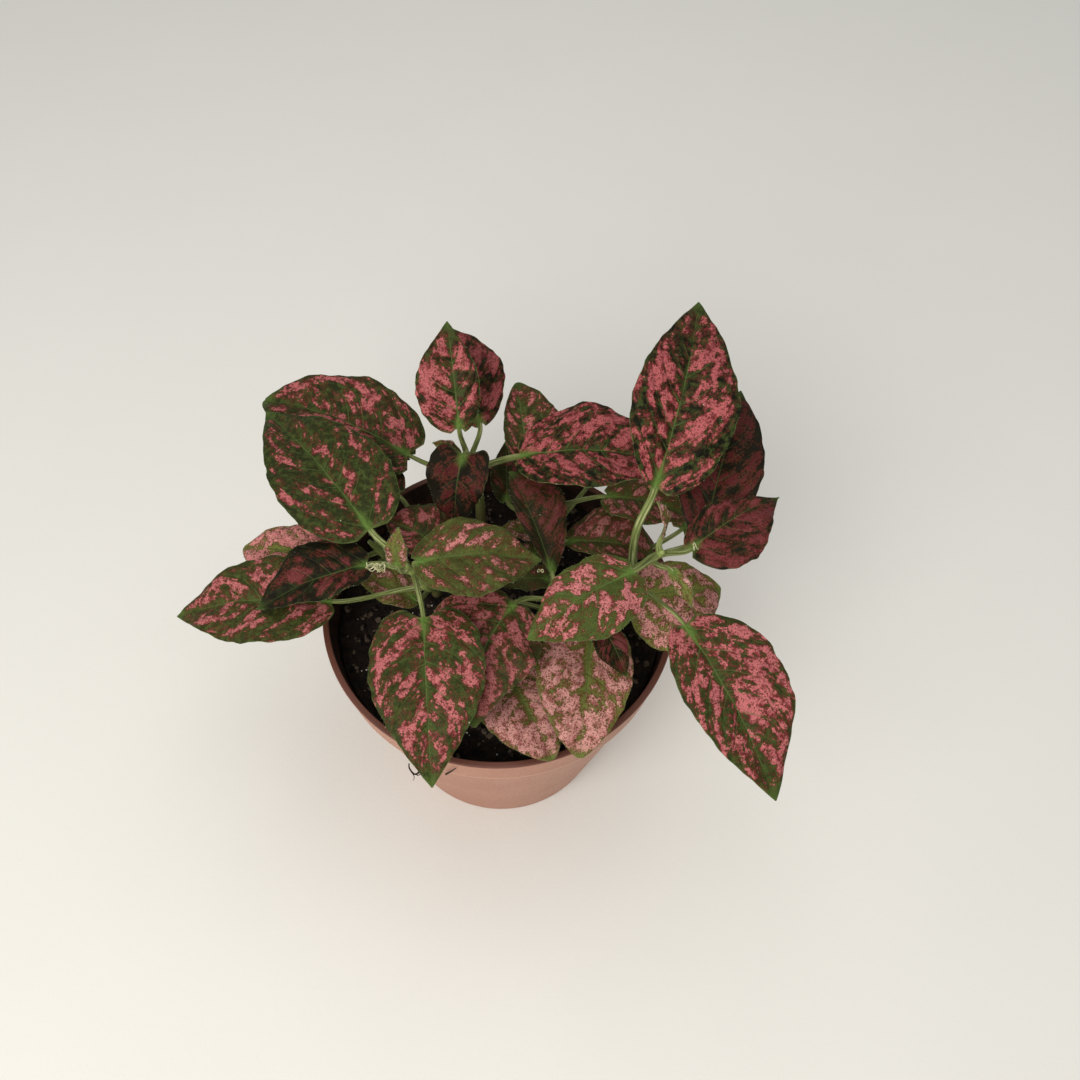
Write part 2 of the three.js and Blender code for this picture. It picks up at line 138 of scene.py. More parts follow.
# Leaves: stem, height of the joint on it, blade base, blade tip, half widths left and right
# as seen from base to tip with the upper face up, and what differs from PLAIN_LEAF
LEAVES = [
    ("back", 96, (-29.2, 38, 102), (-76.1, 56.9, 103), (15.3, 17),
     dict(fold=10, foldTip=20, widest=0.38, baseFill=0.42, tipFill=0.62, lobe=2.6)),
    ("back", 107, (5, 30, 113), (50, 27, 115), (16.5, 14.5), dict(widest=0.42, tipFill=0.8, stalk=1.35)),
    ("back", 111, (-10.5, 22.5, 122), (-13, 10, 103), (8.5, 9),
     dict(widest=0.24, baseFill=0.42, arch=0.2, peak=0.35, lobe=3.4)),
    ("back", 115, (-12, 28, 127), (-16, 50, 146), (11, 7), {}),
    ("back", 112, (-7, 37, 119), (-17, 60, 134), (8, 11), dict(widest=0.48)),
    ("back", 92, (-30.5, 45.9, 92), (-53.7, 61, 86), (6, 6), {}),
    ("left", 112, (-36, 5, 109), (-73, 48, 108), (16.5, 17), dict(arch=0.08, widest=0.34, stalk=1.3)),
    ("left", 108, (-21, -10.5, 117), (12, -4, 110), (11.5, 14), dict(baseFill=0.7)),
    ("left", 108, (-36, -4, 105), (-65, -18, 102), (7.5, 12), dict(stalk=1.2)),
    ("left", 108, (-19, -21, 106), (-14, -63, 92), (16, 15), dict(widest=0.35, baseFill=0.45, lobe=3)),
    ("left", 98, (-17, 5, 101), (-34, 15, 100), (7, 11), {}),
    ("left", 94, (-46, -12, 98), (-91, -14, 90), (15, 14), {}),
    ("left", 96, (-32, 26, 98), (-49, 37, 95), (8, 8), {}),
    ("left", 86, (-24, -5, 89), (-42, 1, 91), (6, 6), {}),
    ("right", 103, (42, 10, 126), (54, 62, 145), (14, 16.5),
     dict(roll=-15, fold=16, leftFill=1, stalk=1.5, rise=0.4)),
    ("right", 112, (57, 6, 112), (69, 50, 122), (11, 12), {}),
    ("right", 117, (52, -4, 118), (77, 13, 120), (7, 14), dict(widest=0.32, baseFill=0.9, tipFill=1.2)),
    ("right", 117, (36, -13, 120), (9, -30, 112), (14, 9.5), {}),
    ("right", 103, (50, -24, 112), (73, -65, 96), (17, 11.8), dict(stalk=0.8)),
    ("right", 92, (39.5, -6.5, 97), (64, -1, 94), (9, 17.5),
     dict(roll=-22, widest=0.36, baseFill=0.45, tipFill=0.8, lobe=3)),
    ("right", 86, (54, 20, 93), (78, 42, 84), (11, 11), {}),
    ("front", 97, (5, -14, 103), (-4, -47, 94), (15, 17), dict(bend=0.1)),
    ("front", 94, (15, 0, 99), (2, 26, 111), (4, 11), dict(widest=0.6)),
    ("front", 82, (14, 2, 91), (-2, -1, 92), (4.5, 6), {}),
    ("front", 90, (27, -14, 94), (24, -51, 86), (12.5, 14.5), dict(tipFill=0.7)),
    ("front", 94, (29, -19, 102), (36, -32, 97), (4, 5.5), {}),
    ("front", 86, (2, -6, 91), (-17, -10, 90), (6, 6), {}),
    ("front", 80, (1, -22, 84), (17, -51, 84), (10, 14), dict(tipFill=0.65)),
    ("inner", 97, (7, 32, 106), (3, 55, 117), (6, 12), dict(tipFill=0.7)),
    ("inner", 88, (1, 30, 92), (0, 43, 104), (5, 5), {}),
    ("inner", 97, (31, 27, 99), (58, 19, 99), (9, 9), {}),
    ("inner", 90, (20, 13, 95), (45, 10, 94), (12.5, 6), dict(widest=0.5, tipFill=0.75)),
    ("inner", 88, (28, 40, 92), (40, 64, 86), (10, 10), {}),
    ("inner", 84, (6, 40, 86), (12, 68, 80), (9, 9), {}),
    ("side", 90, (-48, 4, 92), (-76, 9.5, 91), (12, 9.5), dict(tipFill=0.65)),
    ("side", 88, (-42, 22, 91), (-62, 46, 86), (11, 11), {}),
    ("side", 84, (-48, 2, 86), (-80, -8, 77), (10, 10), {}),
]

# Young leaves in the same columns, grown as one with the stem's head
YOUNG = [
    ("left", 112, (-26, -11, 117), (-25, -7, 128), (3.2, 3.2), {}),
    ("right", 118, (44, -3, 123), (41, -2, 136), (2.8, 2.8), {}),
    ("right", 114, (47, -11, 117), (52, -19, 113), (2.4, 2.4), {}),
    ("back", 114, (-13, 27, 117), (-20, 29, 119), (2.5, 2.5), {}),
    ("inner", 80, (10, 23, 84), (-1, 23, 86), (4, 4), {}),
    ("inner", 77, (10, 17, 82), (3, 16, 84), (3, 3), {}),
]

# Plain leaf: angles in degrees, lobe and wave in millimetres, the rest shares and powers
PLAIN_LEAF = dict(
    roll=0, arch=0.1, peak=0.5, bend=0, fold=12, widest=0.4, baseFill=0.55, tipFill=1, lobe=1.5,
    stalk=1, curl=0.1, wave=0.8, waves=2.5, rise=0.12,
)

# Colouring of each stem's leaves in turn: share of pink, paleness of an old leaf, and darkness
# of its tone, partly the leaf's own deeper colour and partly painted shade where other leaves
# shade it; below 0 it is drawn lighter, partly its own paler colour and partly painted light
LOOKS = {
    "back": [(0.42, 0.05, -0.1), (0.54, 0, 0.12), (0.24, 0, 1), (0.52, 0.05, 0), (0.62, 0, 0.4),
             (0.55, 0.3, 0.4)],
    "left": [(0.06, 0.05, -0.15), (0.24, 0.35, -0.05), (0.12, 0, 0.75), (0.4, 0.05, -0.25),
             (0.5, 0.2, 0.4), (0.36, 0.15, -0.1), (0.5, 0.2, 0.5), (0.6, 0.8, 0.1)],
    "right": [(0.39, 0, 0), (0.42, 0, 0.95), (0.55, 0, 0.75), (0.44, 0.12, -0.6), (0.5, 0, -0.3),
              (0.6, 1, -0.5), (0.55, 0.3, 0.3)],
    "front": [(0.64, 0.2, 0.3), (0.42, 0.45, 0.9), (0.3, 0.5, 0.5), (0.65, 0.75, 0),
              (0.6, 0.1, 0.8), (0.3, 0.3, 0.5), (0.7, 0.75, 0.08)],
    "inner": [(0.42, 0.15, 0.05), (0.14, 0.3, 0.75), (0.34, 0.4, 0.25), (0.48, 0.4, 0.42),
              (0.55, 0.4, 0.3), (0.55, 0.4, 0.3)],
    "side": [(0.76, 1, -1), (0.6, 0.5, 0.3), (0.6, 0.6, 0.2)],
}
# Colouring of the young leaves on two of the stems, and on the others
YOUNG_LOOKS = {"right": (1, 1, -0.1), "left": (0.85, 0.9, 0.1)}
OTHER_YOUNG_LOOK = (0.8, 0.85, 0.2)

# Knots of dry whitish fibres: middle, reach along each axis, and how many fibres
DRY_BITS = [
    ((-34.2, -5.6, 106.4), (1.9, 0.9, 0.9), 3),
    ((-31.9, -6, 106.8), (1.1, 1.2, 0.8), 2),
    ((11.9, -5.4, 107), (0.8, 0.6, 0.3), 1),
    ((53.1, -3.8, 118.9), (0.7, 1.1, 0.4), 1),
]
# Root ends by the rim and in the soil: start, direction, length, radius and curl
ROOT_BITS = [
    ((46.2, -13.4, 74.5), (0.5, 0.1, 0.8), 6, 0.2, 4),
    ((47.4, -11.4, 74), (0.2, 0.7, 0.8), 6.5, 0.18, 5),
    ((45.6, -15, 74), (0.2, -0.6, 0.9), 5, 0.15, 6),
    ((-8, -42, 72), (1, 0.3, 0.1), 8, 0.2, 4),
    ((20, -38, 72), (-0.7, 0.6, 0.1), 7, 0.16, 4),
    ((-19.8, -54.6, 80), (-0.2, -0.6, -0.5), 4, 0.16, 9),
    ((-21.4, -53.6, 80.3), (-0.8, 0.1, -0.4), 3.5, 0.16, 9),
]
# Bit of stick on the rim band, and a root end that hangs over the rim: points and radius
LONG_BITS = [
    ([(-12.9, -49.6, 68), (-11.2, -50.5, 72.4), (-9.5, -51.3, 77)], 0.32),
    ([(-17.6, -47.6, 80.6), (-18, -50.2, 81.6), (-18.6, -53.6, 81), (-20.1, -54.9, 80.6),
      (-21.7, -53.3, 80.6), (-22.1, -51.6, 80)], 0.42),
]


def unit(vector):
    return vector / np.linalg.norm(vector, axis=-1, keepdims=True)


def smooth(value, low, high):
    t = np.clip((value - low) / (high - low), 0, 1)
    return t * t * (3 - 2 * t)


def turned(vector, axis, degrees):
    return np.array(Matrix.Rotation(math.radians(degrees), 3, Vector(axis)) @ Vector(vector))


def linear(red, green, blue):
    """Shader colour of an sRGB colour from 0 to 255."""
    shares = [c / 255 for c in (red, green, blue)]
    return tuple(c / 12.92 if c < 0.04045 else ((c + 0.055) / 1.055) ** 2.4 for c in shares) + (1,)


class Paint:
    """The nodes of one material, by short calls. A value is a number, a tuple or a socket."""

    def __init__(self, name):
        self.material = bpy.data.materials.new(name)
        self.material.use_nodes = True
        self.tree = self.material.node_tree
        self.shader = self.tree.nodes["Principled BSDF"]

    def put(self, socket, value):
        if isinstance(value, bpy.types.NodeSocket):
            self.tree.links.new(value, socket)
        else:
            socket.default_value = value

    def node(self, kind, inputs=(), **settings):
        made = self.tree.nodes.new(kind)
        for name, value in settings.items():
            setattr(made, name, value)
        for name, value in dict(inputs).items():
            self.put(made.inputs[name], value)
        return made

    def math(self, operation, *values):
        made = self.node("ShaderNodeMath", operation=operation)
        for socket, value in zip(made.inputs, values):
            self.put(socket, value)
        return made.outputs[0]

    def add(self, first, *others):
        for other in others:
            first = self.math("ADD", first, other)
        return first

    def times(self, first, *others):
        for other in others:
            first = self.math("MULTIPLY", first, other)
        return first

    def around(self, value, *shares):
        """How far a noise lies from its middle, times the shares."""
        return self.times(self.math("SUBTRACT", value, 0.5), *shares)

    def less(self, value, share, whole=1.0):
        """The whole, less a share of the value."""
        return self.math("SUBTRACT", whole, self.times(value, share))

    def span(self, value, low, high, at_low=0.0, at_high=1.0):
        """Goes smoothly from at_low to at_high as value goes from low to high."""
        made = self.node("ShaderNodeMapRange", interpolation_type="SMOOTHSTEP")
        for name, given in zip(("Value", "From Min", "From Max", "To Min", "To Max"),
                               (value, low, high, at_low, at_high)):
            self.put(made.inputs[name], given)
        return made.outputs[0]

    def fade(self, value, low, high, most=1.0):
        """Goes smoothly from most down to 0 as value goes from low to high."""
        return self.span(value, low, high, most, 0.0)

    def mix(self, share, first, second):
        made = self.node("ShaderNodeMix", data_type="RGBA")
        self.put(made.inputs[0], share)
        self.put(made.inputs[6], first)
        self.put(made.inputs[7], second)
        return made.outputs[2]

    def noise(self, place, scale, detail=2.0, roughness=0.5):
        inputs = {"Vector": place, "Scale": scale, "Detail": detail, "Roughness": roughness}
        return self.node("ShaderNodeTexNoise", inputs).outputs[0]

    def cells(self, place, scale):
        inputs = {"Vector": place, "Scale": scale}
        return self.node("ShaderNodeTexVoronoi", inputs).outputs[0]

    def values(self, attribute):
        given = self.node("ShaderNodeAttribute", attribute_name=attribute).outputs["Vector"]
        return self.node("ShaderNodeSeparateXYZ", {"Vector": given}).outputs

    def place(self, x, y, z):
        return self.node("ShaderNodeCombineXYZ", {"X": x, "Y": y, "Z": z}).outputs[0]

    def position(self):
        """Place in the row's frame, in millimetres."""
        given = self.node("ShaderNodeNewGeometry").outputs["Position"]
        made = self.node("ShaderNodeVectorMath", operation="SCALE")
        self.put(made.inputs[0], given)
        made.inputs["Scale"].default_value = 1 / MM
        return made.outputs[0]

    def bump(self, height, distance):
        inputs = {"Height": height, "Distance": distance * MM}
        self.put(self.shader.inputs["Normal"], self.node("ShaderNodeBump", inputs).outputs[0])

    def finish(self, colour, roughness, specular=0.5, tint=(1, 1, 1, 1)):
        inputs = {"Base Color": colour, "Roughness": roughness, "Specular IOR Level": specular,
                  "Specular Tint": tint}
        for name, value in inputs.items():
            self.put(self.shader.inputs[name], value)
        return self.material


# Leaf colours
PINK_FRESH = linear(114, 42, 44)
PINK_LIGHT = linear(184, 95, 97)
# Painted light: bright pink for leaves drawn lighter, partly their own paler colour
PINK_BRIGHT_AND_LIT = linear(216, 134, 132)
PINK_OLD = linear(158, 98, 90)
PINK_OLD_LIGHT = linear(212, 158, 148)
# Painted shade: dark pink for leaves drawn darker, partly their own deeper colour
PINK_DARK_AND_SHADE = linear(78, 26, 28)
DUSKY = linear(93, 47, 33)
GREEN_FRESH = linear(57, 68, 30)
GREEN_DEEP = linear(14, 16, 6)
GREEN_OLD = linear(134, 136, 68)
# Painted light: light green for leaves drawn lighter, partly their own paler colour
GREEN_LIGHT_AND_LIT = linear(80, 98, 42)
# Painted shade: dark green for leaves drawn darker, partly their own deeper colour
GREEN_DARK_AND_SHADE = linear(22, 18, 9)
GREEN_BRIGHT = linear(92, 120, 52)
VEIN_GREEN = linear(84, 102, 52)
PETIOLE_GREEN = linear(122, 132, 76)
PETIOLE_PALE = linear(172, 176, 124)
PETIOLE_SHADE = linear(80, 88, 48)
UNDER_GREEN = linear(128, 138, 94)
DUST = linear(214, 208, 190)


def leaf_material():
    paint = Paint("leaf")
    add, times, around = paint.add, paint.times, paint.around
    span, fade, mix = paint.span, paint.fade, paint.mix
    x, y, seed = paint.values("leaf_place")
    u, top, v = paint.values("leaf_face")
    s, spacing, margin = paint.values("leaf_vein")
    share, age, tone = paint.values("leaf_look")
    # Darkening of a leaf, partly its own deeper colour and partly painted shade
    dark = paint.math("MAXIMUM", tone, 0.0)
    # Lightening of a leaf, partly its own paler colour and partly painted light
    paler_and_lit = paint.math("MAXIMUM", times(tone, -1.0), 0.0)
    across = paint.math("ABSOLUTE", x)
    right = paint.math("GREATER_THAN", x, 0.0)

    # Distance in millimetres from the nearest side vein
    nearest = paint.math("ROUND", s)
    off_vein = times(paint.math("ABSOLUTE", paint.math("SUBTRACT", s, nearest)), spacing)
    has_vein = times(span(s, -0.45, -0.1), fade(u, 0.55, 0.85))

    # Patches a little longer along the side veins, and finer noise that frays their edges
    half_seed = add(seed, times(right, 4.0))
    along_veins = paint.place(times(across, 0.2), times(s, 1.05), half_seed)
    plain = paint.place(x, y, times(seed, 9.0))
    striped = times(span(u, 0.55, 0.9, 1.0, 0.3), span(age, 0.2, 0.7, 1.0, 0.35))
    bands = paint.noise(along_veins, 1.0, 1.0)
    frayed = paint.noise(paint.place(times(across, 0.55), times(s, 4.2), half_seed), 1.0, 1.0)
    patches = paint.noise(plain, 0.3, 1.0)
    ragged = paint.noise(plain, 1.0, 3.0, 0.6)
    grains = paint.noise(plain, 3.2, 2.0, 0.7)
    cells = paint.cells(plain, 1.15)
    flecks = paint.noise(plain, 1.9, 1.0)
    greening = span(paint.noise(plain, 0.2, 1.0), 0.4, 0.62)

    near_vein = times(fade(off_vein, 0.1, 1.4), has_vein, greening)
    near_rib = fade(across, 0.2, 2.0)
    old_rib = times(fade(across, 0.2, 2.6), age, fade(u, 0.5, 0.8))
    near_margin = fade(margin, 0.2, 1.8)
    near_tip = span(u, 0.88, 0.99)
    field = add(
        around(bands, striped, 0.96),
        around(frayed, striped, 0.46),
        around(patches, 0.62),
        around(ragged, 0.46),
        around(grains, add(0.14, times(age, 0.3))),
        around(cells, 0.16),
        times(near_vein, -0.15),
        times(near_rib, -0.12),
        times(old_rib, -0.3),
        times(near_margin, -0.14),
        times(near_tip, span(age, 0.2, 0.8, -0.2, -0.04)),
        times(paint.math("SUBTRACT", share, 0.42), 0.38),
    )
    pink_share = times(span(field, -0.03, 0.035), span(flecks, 0.58, 0.64, 1.0, 0.1))
    dusky_share = times(span(field, -0.24, -0.02), span(flecks, 0.4, 0.54, 0.1, 1.0), 0.8)

    tint = paint.noise(plain, 0.55, 3.0, 0.6)
    light = span(add(tint, times(field, 0.8), times(grains, 0.12)), 0.46, 0.74)
    fresh_pink = mix(light, PINK_FRESH, PINK_LIGHT)
    pink = mix(age, fresh_pink, mix(light, PINK_OLD, PINK_OLD_LIGHT))
    # Painted light on the pinks of leaves drawn lighter
    pink = mix(times(paler_and_lit, light), pink, PINK_BRIGHT_AND_LIT)
    pink = mix(dark, pink, PINK_DARK_AND_SHADE)
    lit = span(add(tint, times(near_rib, 0.1)), 0.43, 0.63)
    green = mix(lit, GREEN_DEEP, GREEN_FRESH)
    # Painted light on the greens of leaves drawn lighter
    green = mix(paler_and_lit, green, GREEN_LIGHT_AND_LIT)
    green = mix(times(age, 0.75), green, GREEN_OLD)
    green = mix(dark, green, GREEN_DARK_AND_SHADE)
    colour = mix(pink_share, mix(dusky_share, green, DUSKY), pink)
    colour = mix(times(fade(grains, 0.34, 0.5), 0.62), colour, GREEN_DEEP)

    # Thin lines on the veins, brighter at the base, and the pale rim of the blade
    out = paint.math("ABSOLUTE", v)
    line_width = span(out, 0.0, 0.9, 0.2, 0.05)
    vein_line = times(
        fade(paint.math("DIVIDE", off_vein, line_width), 0.6, 1.3),
        has_vein,
        fade(out, 0.25, 0.75, 0.6),
        span(patches, 0.35, 0.6, 0.3, 1.0),
        paint.less(age, 0.6),
    )
    rib_width = add(span(u, 0.0, 1.0, 0.3, 0.08), fade(u, 0.0, 0.16, 0.6))
    rib_line = fade(paint.math("DIVIDE", across, rib_width), 0.7, 1.1)
    base_green = times(fade(across, 0.5, 2.4), fade(u, 0.02, 0.15))
    rim = times(fade(margin, 0.1, 0.25, 0.6), span(patches, 0.42, 0.55))
    colour = mix(times(base_green, 0.6), colour, GREEN_BRIGHT)
    # Lines show less on a leaf drawn darker, whose darkness is partly painted shade
    colour = mix(times(vein_line, paint.less(dark, 0.7)), colour, VEIN_GREEN)
    rib_colour = mix(span(u, 0.0, 0.25), GREEN_BRIGHT, VEIN_GREEN)
    colour = mix(times(rib_line, paint.less(dark, 0.45, 0.8)), colour, rib_colour)
    colour = mix(times(rim, paint.less(dark, 0.6)), colour, VEIN_GREEN)
    colour = mix(times(near_tip, 0.3), colour, GREEN_BRIGHT)
    dusty = span(paint.noise(plain, 0.15, 1.0), 0.5, 0.56)
    speck = times(fade(paint.cells(plain, 0.2), 0.03, 0.045), dusty)
    colour = mix(times(speck, 0.6), colour, DUST)

    under = mix(times(pink_share, 0.45), UNDER_GREEN, PINK_OLD)
    under = mix(times(fade(across, 0.5, 1.1), 0.8), under, PETIOLE_GREEN)
    colour = mix(top, under, colour)
    stalk = fade(u, -0.02, 0.02)
    ribbing = paint.noise(paint.place(times(v, 3.2), times(y, 0.12), seed), 1.0, 2.0)
    petiole = mix(span(ribbing, 0.36, 0.5), PETIOLE_SHADE, PETIOLE_GREEN)
    petiole = mix(span(ribbing, 0.54, 0.68), petiole, PETIOLE_PALE)
    # Painted shade: the stalk of a leaf drawn darker is darkened too
    petiole = mix(times(dark, 0.35), petiole, PETIOLE_SHADE)
    colour = mix(stalk, colour, petiole)

    groove = times(fade(off_vein, 0.0, 0.5), has_vein, -0.6)
    height = add(groove, times(ragged, 0.5), times(grains, 0.3))
    paint.bump(height, 0.22)
    return paint.finish(colour, span(ragged, 0.3, 0.7, 0.46, 0.62), 0.12, (1.0, 0.95, 0.82, 1.0))


def stem_material():
    paint = Paint("stem")
    place = paint.position()
    streak = paint.noise(place, 0.5, 3.0)
    mottle = paint.noise(place, 2.2, 2.0)
    colour = paint.mix(streak, linear(118, 138, 70), linear(160, 172, 100))
    low = paint.node("ShaderNodeSeparateXYZ", {"Vector": place}).outputs[2]
    colour = paint.mix(paint.fade(low, 72.0, 92.0, 0.7), colour, linear(104, 84, 58))
    colour = paint.mix(paint.span(mottle, 0.55, 0.7, 0.0, 0.35), colour, linear(120, 90, 62))
    paint.bump(paint.add(streak, mottle), 0.12)
    return paint.finish(colour, 0.5, 0.4)


def soil_material():
    paint = Paint("soil")
    place = paint.position()
    coarse = paint.noise(place, 0.35, 4.0, 0.7)
    fine = paint.noise(place, 1.6, 4.0, 0.75)
    colour = paint.mix(paint.span(coarse, 0.35, 0.65), linear(20, 15, 14), linear(44, 33, 27))
    colour = paint.mix(paint.span(fine, 0.55, 0.75), colour, linear(74, 58, 46))
    paint.bump(paint.add(coarse, fine), 0.8)
    return paint.finish(colour, paint.span(fine, 0.3, 0.7, 0.7, 1.0), 0.2)


def crumb_material():
    paint = Paint("crumb")
    tone = paint.noise(paint.position(), 0.5, 3.0, 0.7)
    colour = paint.mix(paint.span(tone, 0.4, 0.65), linear(20, 15, 13), linear(104, 88, 74))
    paint.bump(paint.noise(paint.position(), 3.0, 3.0), 0.3)
    return paint.finish(colour, 0.9, 0.2)


def grain_material():
    paint = Paint("grain")
    tone = paint.noise(paint.position(), 1.5, 3.0)
    colour = paint.mix(tone, linear(150, 146, 136), linear(232, 228, 216))
    paint.bump(tone, 0.2)
    return paint.finish(colour, 0.8)


def thread_material(name, dark, pale):
    paint = Paint(name)
    tone = paint.noise(paint.position(), 0.9, 3.0)
    colour = paint.mix(paint.span(tone, 0.4, 0.6), dark, pale)
    paint.bump(tone, 0.1)
    return paint.finish(colour, 0.7, 0.2)


def pot_material():
    paint = Paint("pot")
    place = paint.position()
    spread = paint.noise(place, 0.05, 4.0, 0.6)
    fine = paint.noise(place, 1.1, 3.0, 0.6)
    _, height, inner = paint.values("pot_place")
    colour = paint.mix(paint.span(spread, 0.35, 0.65), linear(174, 122, 100), linear(180, 129, 107))
    colour = paint.mix(paint.span(fine, 0.5, 0.8, 0.0, 0.15), colour, linear(150, 100, 80))
    # Painted highlight: a thin lighter line along the foot of the rim band
    foot_highlight = paint.times(paint.span(height, BAND_FOOT - 0.3, BAND_FOOT + 0.1),
                            paint.fade(height, BAND_FOOT + 0.6, BAND_FOOT + 1.2))
    colour = paint.mix(paint.times(foot_highlight, 0.5), colour, linear(206, 166, 144))
    specks = paint.cells(place, 0.16)
    dirty = paint.noise(place, 0.09, 2.0)
    speck = paint.times(paint.fade(specks, 0.05, 0.075), paint.span(dirty, 0.45, 0.55))
    colour = paint.mix(paint.times(speck, 0.8), colour, linear(84, 56, 42))
    lip = paint.times(paint.span(height, POT_HEIGHT - 0.8, POT_HEIGHT - 0.2), 0.9)
    colour = paint.mix(lip, colour, linear(86, 42, 30))
    # Inner wall: soil stain, deepened with painted shade, darker than the pot's own colour
    stain = paint.noise(place, 0.25, 4.0, 0.7)
    inner_wall_stain_and_shade = paint.mix(paint.span(stain, 0.4, 0.6), linear(62, 38, 28), linear(34, 22, 16))
    colour = paint.mix(inner, colour, inner_wall_stain_and_shade)
    paint.bump(fine, 0.03)
    return paint.finish(colour, paint.span(fine, 0.3, 0.7, 0.48, 0.62), 0.4)


def floor_material():
    paint = Paint("floor")
    tone = paint.noise(paint.position(), 0.02, 3.0)
    colour = paint.mix(tone, linear(235, 233, 226), linear(238, 236, 229))
    paint.bump(paint.noise(paint.position(), 0.8, 2.0), 0.05)
    return paint.finish(colour, 0.75, 0.2)


def add_object(name, data):
    made = bpy.data.objects.new(name, data)
    bpy.context.scene.collection.objects.link(made)
    return made


def set_values(mesh, name, vectors):
    attribute = mesh.attributes.new(name, "FLOAT_VECTOR", "POINT")
    attribute.data.foreach_set("vector", np.asarray(vectors, np.float32).ravel())


def add_mesh(name, points, faces, material, values=None, sharp=60):
    """A smooth-shaded object of points in millimetres, with vectors of values at its points."""
    mesh = bpy.data.meshes.new(name)
    mesh.from_pydata((np.asarray(points) * MM).tolist(), [], faces)
    for key, vectors in (values or {}).items():
        set_values(mesh, key, vectors)
    mesh.shade_smooth()
    mesh.set_sharp_from_angle(angle=math.radians(sharp))
    mesh.materials.append(material)
    return add_object(name, mesh)


def dress(piece, slot, *nodes):
    """The piece stands for the nodes and stays with the row's one body; the slot is not used."""
    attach(piece, "root")
    if nodes:
        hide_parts(*nodes)


def joined(skins):
    """One set of points, faces and values from several."""
    points, faces, values = [], [], {}
    start = 0
    for skin_points, skin_faces, skin_values in skins:
        points.append(skin_points)
        faces += [tuple(start + k for k in face) for face in skin_faces]
        for key, grid in skin_values.items():
            values.setdefault(key, []).append(grid)
        start += len(skin_points)
    return np.vstack(points), faces, {key: np.vstack(grids) for key, grids in values.items()}


def add_joined(name, skins, material, slot, sharp=60):
    """A piece that stands for no node, of several skins."""
    points, faces, values = joined(skins)
    dress(add_mesh(name, points, faces, material, values, sharp), slot)


def loft_faces(rings, count):
    """Faces of a closed skin over rings of points that run clockwise, seen along their way."""
    faces = []
    for i in range(rings - 1):
        for k in range(count):
            a = i * count + k
            b = i * count + (k + 1) % count
            faces.append((a, b, b + count, a + count))
    last = (rings - 1) * count
    faces.append(tuple(reversed(range(count))))
    faces.append(tuple(range(last, last + count)))
    return faces


def catmull_rom(points, steps):
    """Smooth line through the points, with its ends carried on straight."""
    points = np.array(points, float)
    points = np.vstack([2 * points[0] - points[1], points, 2 * points[-1] - points[-2]])
    line = []
    for t in np.linspace(0, len(points) - 3, steps + 1):
        i = min(int(t), len(points) - 4)
        f = t - i
        p0, p1, p2, p3 = points[i:i + 4]
        line.append(0.5 * (2 * p1 + (p2 - p0) * f + (2 * p0 - 5 * p1 + 4 * p2 - p3) * f**2
                           + (3 * p1 - p0 - 3 * p2 + p3) * f**3))
    return np.array(line)


def ways(line):
    """Way of a line of points at each of them."""
    before = np.vstack([line[:1], line[:-1]])
    after = np.vstack([line[1:], line[-1:]])
    return unit(after - before)


def carried_sides(line, side):
    """Side directions along a line, carried from its first point without spin."""
    carried = []
    for way in ways(line):
        side = unit(side - way * np.dot(side, way))
        carried.append(side)
    return np.array(carried)


# Stems
def stem_line(name):
    points = STEMS[name]
    foot = (points[0][0], points[0][1], SOIL_LEVEL - STEM_DEPTH)
    return catmull_rom([foot, *points], STEM_STEPS)


def stem_radius(height, line):
    t = (height - line[0, 2]) / (line[-1, 2] - line[0, 2])
    return STEM_FOOT_RADIUS + (STEM_HEAD_RADIUS - STEM_FOOT_RADIUS) * t


def stem_at(name, height):
    """Middle of the stem at a height above the ground, with its way and radius there."""
    line = stem_line(name)
    i = int(np.clip(np.searchsorted(line[:, 2], height), 1, len(line) - 1))
    part = (height - line[i - 1, 2]) / (line[i, 2] - line[i - 1, 2])
    middle = line[i - 1] + (line[i] - line[i - 1]) * part
    return middle, unit(line[i] - line[i - 1]), stem_radius(height, line)


def stem_skin(name):
    """Rings of a slightly four-sided stem that swells at each joint and closes in a round head."""
    line = stem_line(name)
    joints = {row[1] for row in LEAVES + YOUNG if row[0] == name}
    swell = sum(np.exp(-((line[:, 2] - joint) / 1.3) ** 2) for joint in sorted(joints))
    radius = stem_radius(line[:, 2], line) + JOINT_SWELL * np.minimum(swell, 1)
    radius *= 1 - 0.3 * smooth(line[:, 2], line[-1, 2] - 4, line[-1, 2])
    head = np.linspace(0, 1, 6)[1:]
    way = ways(line)
    sides = carried_sides(line, np.array((1.0, 0, 0)))
    ups = np.cross(sides, way)
    angles = np.pi * (1 - (2 * np.arange(STEM_SIDES) + 1) / STEM_SIDES)
    ribs = 1 + 0.05 * np.cos(4 * angles)
    circle = np.stack([np.cos(angles) * ribs, np.sin(angles) * ribs], axis=1)
    centres = list(line) + [line[-1] + way[-1] * radius[-1] * math.sin(h * math.pi / 2) for h in head]
    radii = list(radius) + [radius[-1] * max(0.05, math.cos(h * math.pi / 2)) for h in head]
    rings = []
    for i, (centre, r) in enumerate(zip(centres, radii)):
        j = min(i, len(line) - 1)
        rings.append(centre + r * (circle[:, :1] * sides[j] + circle[:, 1:] * ups[j]))
    return rings


